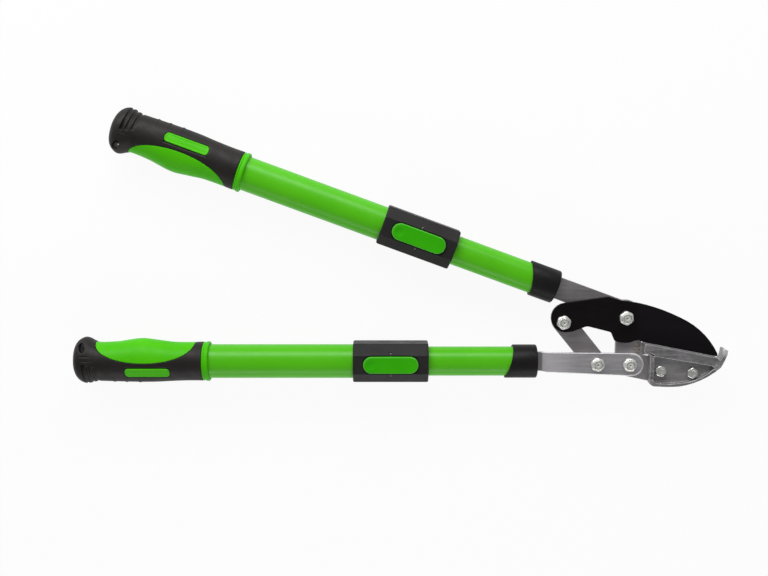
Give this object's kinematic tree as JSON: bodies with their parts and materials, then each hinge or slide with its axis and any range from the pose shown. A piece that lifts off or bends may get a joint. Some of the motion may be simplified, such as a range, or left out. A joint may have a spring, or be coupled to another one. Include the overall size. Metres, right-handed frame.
{
  "type": "telescopic lopper",
  "caption": "Telescopic anvil lopper: a blade driven by a link closes on a hooked anvil, and each handle's grip and lock housing slide out on an inner tube.",
  "frame": {"origin": "middle of the box round the closed, pushed-in lopper, on the plane that it lies on", "axes": "+X along the lower handle towards the blade's tip, +Y from the lower handle towards the upper one, +Z along the pivots towards their nuts"},
  "size_m": [0.6562, 0.2782, 0.0426],
  "materials": {
    "green_paint": "smooth gloss paint",
    "green_plastic": "moulded, satin",
    "black_rubber": "soft, matt",
    "black_plastic": "moulded, satin",
    "coated_blade": "low-friction black coating",
    "dark_steel": "dull, as rolled",
    "bright_steel": "bare, ground",
    "zinc_plate": "bright zinc plate",
    "cast_steel": "plated casting",
    "inner_plastic": "plain moulding"
  },
  "bodies": {
    "upper_arm": {"jaw_plate": "dark_steel", "anvil": "cast_steel", "anvil_rear_bolt": "zinc_plate", "anvil_rear_nut": "zinc_plate", "anvil_front_bolt": "zinc_plate", "anvil_front_nut": "zinc_plate", "blade_pivot_bolt": "zinc_plate", "blade_pivot_nut": "zinc_plate", "bar_pivot_bolt": "zinc_plate", "bar_pivot_nut": "zinc_plate", "upper_ferrule": "black_plastic", "upper_bar_insert": "inner_plastic", "upper_tang_rivet_front": "bright_steel", "upper_tang_rivet_rear": "bright_steel", "upper_inner_tube": "green_paint", "upper_tail_bush": "inner_plastic"},
    "blade": {"blade": "coated_blade", "link_blade_bolt": "zinc_plate", "link_blade_nut": "zinc_plate"},
    "link": {"link": "dark_steel"},
    "lower_arm": {"lower_bar": "bright_steel", "link_bar_bolt": "zinc_plate", "link_bar_nut": "zinc_plate", "lower_ferrule": "black_plastic", "lower_bar_insert": "inner_plastic", "lower_tang_rivet_front": "bright_steel", "lower_tang_rivet_rear": "bright_steel", "lower_inner_tube": "green_paint", "lower_tail_bush": "inner_plastic"},
    "upper_sleeve": {"upper_outer_tube": "green_paint", "upper_lock_housing": "black_plastic", "upper_rocker_pin": "zinc_plate", "upper_lock_spring": "bright_steel", "upper_housing_screw": "zinc_plate", "upper_grip_core": "green_plastic", "upper_grip_sleeve": "black_rubber"},
    "lower_sleeve": {"lower_outer_tube": "green_paint", "lower_lock_housing": "black_plastic", "lower_rocker_pin": "zinc_plate", "lower_lock_spring": "bright_steel", "lower_housing_screw": "zinc_plate", "lower_grip_core": "green_plastic", "lower_grip_sleeve": "black_rubber"},
    "upper_button": {"upper_lock_button": "green_plastic", "upper_lock_pin": "bright_steel"},
    "lower_button": {"lower_lock_button": "green_plastic", "lower_lock_pin": "bright_steel"}
  },
  "joints": [
    {"name": "handle_swing", "type": "hinge", "parent": "upper_arm", "child": "lower_arm", "pos_m": [0.2311, -0.11675, 0.02], "axis": [0, 0, 1], "range_deg": [0, 60]},
    {"name": "blade_swing", "type": "hinge", "parent": "upper_arm", "child": "blade", "pos_m": [0.2263, -0.06925, 0.02], "axis": [0, 0, 1], "range_deg": [0, 31.9]},
    {"name": "link_swing", "type": "hinge", "parent": "blade", "child": "link", "pos_m": [0.164, -0.07375, 0.02], "axis": [0, 0, 1], "range_deg": [-27.4, 0]},
    {"name": "upper_slide", "type": "slide", "parent": "upper_arm", "child": "upper_sleeve", "axis": [-0.9387, 0.3448, 0], "range_m": [0, 0.25]},
    {"name": "lower_slide", "type": "slide", "parent": "lower_arm", "child": "lower_sleeve", "axis": [-1, 0, 0], "range_m": [0, 0.25]},
    {"name": "upper_button_press", "type": "hinge", "parent": "upper_sleeve", "child": "upper_button", "pos_m": [0.01893, 0.01108, 0.0377], "axis": [-0.3448, -0.9387, 0], "range_deg": [0, 6], "stiffness_Nm_per_rad": 0.5, "springref_deg": -5.73, "deforming": ["upper_lock_spring"]},
    {"name": "lower_button_press", "type": "hinge", "parent": "lower_sleeve", "child": "lower_button", "pos_m": [-0.00835, -0.11485, 0.0377], "axis": [0, -1, 0], "range_deg": [0, 6], "stiffness_Nm_per_rad": 0.5, "springref_deg": -5.73, "deforming": ["lower_lock_spring"]}
  ],
  "couplings": [
    {"joint": "blade_swing", "follows": "handle_swing", "ratio": 0.5302},
    {"joint": "link_swing", "follows": "handle_swing", "ratio": -0.4555}
  ]
}
